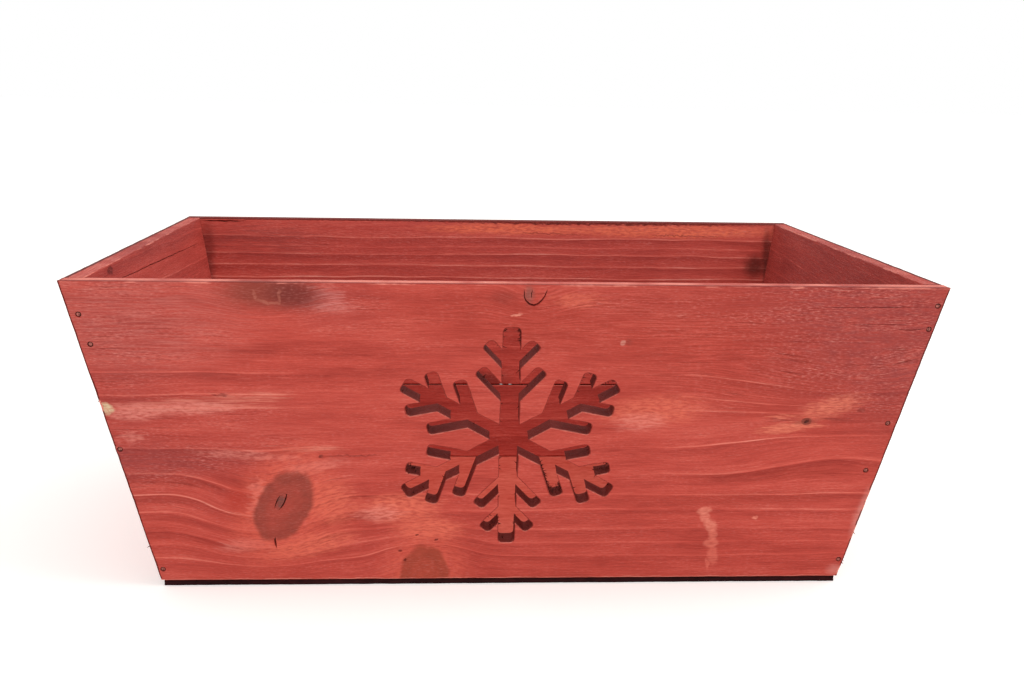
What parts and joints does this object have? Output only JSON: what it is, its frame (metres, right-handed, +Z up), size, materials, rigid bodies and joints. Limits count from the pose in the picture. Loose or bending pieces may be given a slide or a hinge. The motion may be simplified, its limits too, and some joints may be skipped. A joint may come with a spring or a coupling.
{
  "type": "flared wooden box",
  "caption": "Open-topped box of stained softwood boards with flared walls, a snowflake sawn through the front, nailed butt joints and a thin bottom panel.",
  "frame": {"origin": "middle of the underside of the bottom panel, where the box stands", "axes": "+X along the front towards its right end, +Y from the front to the back, +Z up"},
  "size_m": [0.4, 0.268, 0.1573],
  "materials": {
    "stained_spruce": "red wood stain, satin",
    "stained_hardboard": "red wood stain, matt",
    "nail_steel": "dull, stained"
  },
  "bodies": {
    "root": {"back_lower_board": "stained_spruce", "back_upper_board": "stained_spruce", "bottom_panel": "stained_hardboard", "front_board": "stained_spruce", "left_end_board": "stained_spruce", "nail_back_left_1": "nail_steel", "nail_back_left_2": "nail_steel", "nail_back_left_3": "nail_steel", "nail_back_left_4": "nail_steel", "nail_back_left_5": "nail_steel", "nail_back_right_1": "nail_steel", "nail_back_right_2": "nail_steel", "nail_back_right_3": "nail_steel", "nail_back_right_4": "nail_steel", "nail_back_right_5": "nail_steel", "nail_bottom_back_1": "nail_steel", "nail_bottom_back_2": "nail_steel", "nail_bottom_back_3": "nail_steel", "nail_bottom_back_4": "nail_steel", "nail_bottom_front_1": "nail_steel", "nail_bottom_front_2": "nail_steel", "nail_bottom_front_3": "nail_steel", "nail_bottom_front_4": "nail_steel", "nail_bottom_left_1": "nail_steel", "nail_bottom_left_2": "nail_steel", "nail_bottom_right_1": "nail_steel", "nail_bottom_right_2": "nail_steel", "nail_front_left_1": "nail_steel", "nail_front_left_2": "nail_steel", "nail_front_left_3": "nail_steel", "nail_front_left_4": "nail_steel", "nail_front_right_1": "nail_steel", "nail_front_right_2": "nail_steel", "nail_front_right_3": "nail_steel", "nail_front_right_4": "nail_steel", "nail_front_right_5": "nail_steel", "right_end_board": "stained_spruce"}
  },
  "joints": []
}
